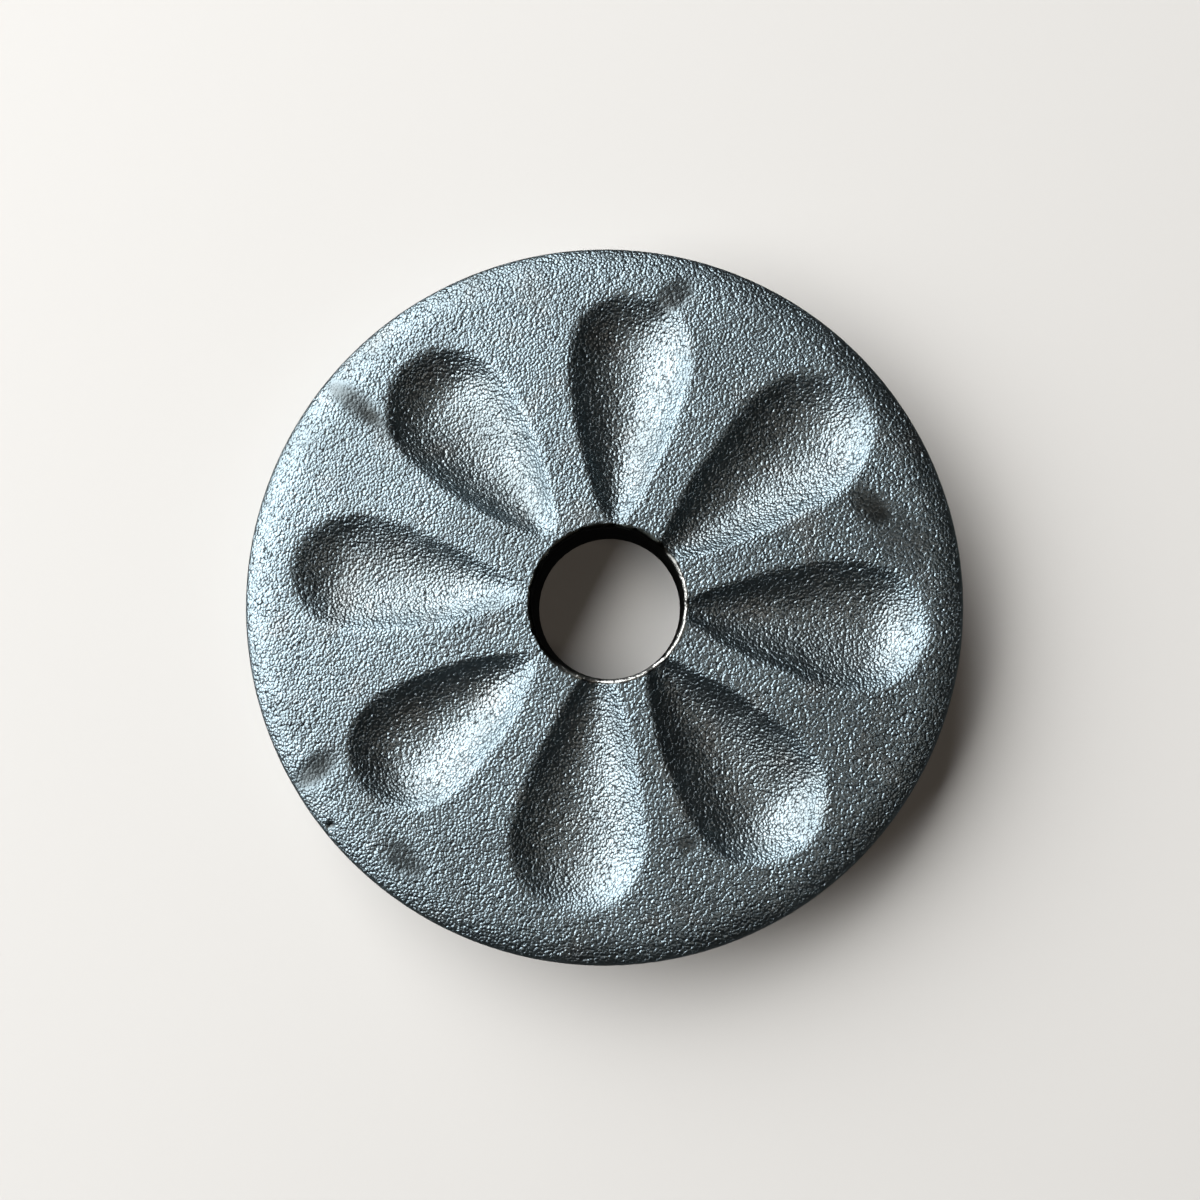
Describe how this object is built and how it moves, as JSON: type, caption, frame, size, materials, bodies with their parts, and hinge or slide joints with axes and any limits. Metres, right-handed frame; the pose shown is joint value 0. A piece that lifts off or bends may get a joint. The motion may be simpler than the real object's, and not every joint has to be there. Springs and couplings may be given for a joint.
{
  "type": "decorative cast iron washer",
  "caption": "Thick round cast iron washer with spoon-shaped hollows radiating round a central bolt hole; bears under a bolt head or nut on timber or masonry.",
  "frame": {"origin": "middle of the flat underside, on the axis of the round outline", "axes": "+Z out of the crowned, carved face; +X to the right and +Y up in the picture"},
  "size_m": [0.0762, 0.0762, 0.0105],
  "materials": {
    "cast_iron": "sand-cast, dark grey-black, semi-gloss, with the drilled hole's wall and lip left as bare metal"
  },
  "bodies": {
    "root": {"washer": "cast_iron"}
  },
  "joints": []
}
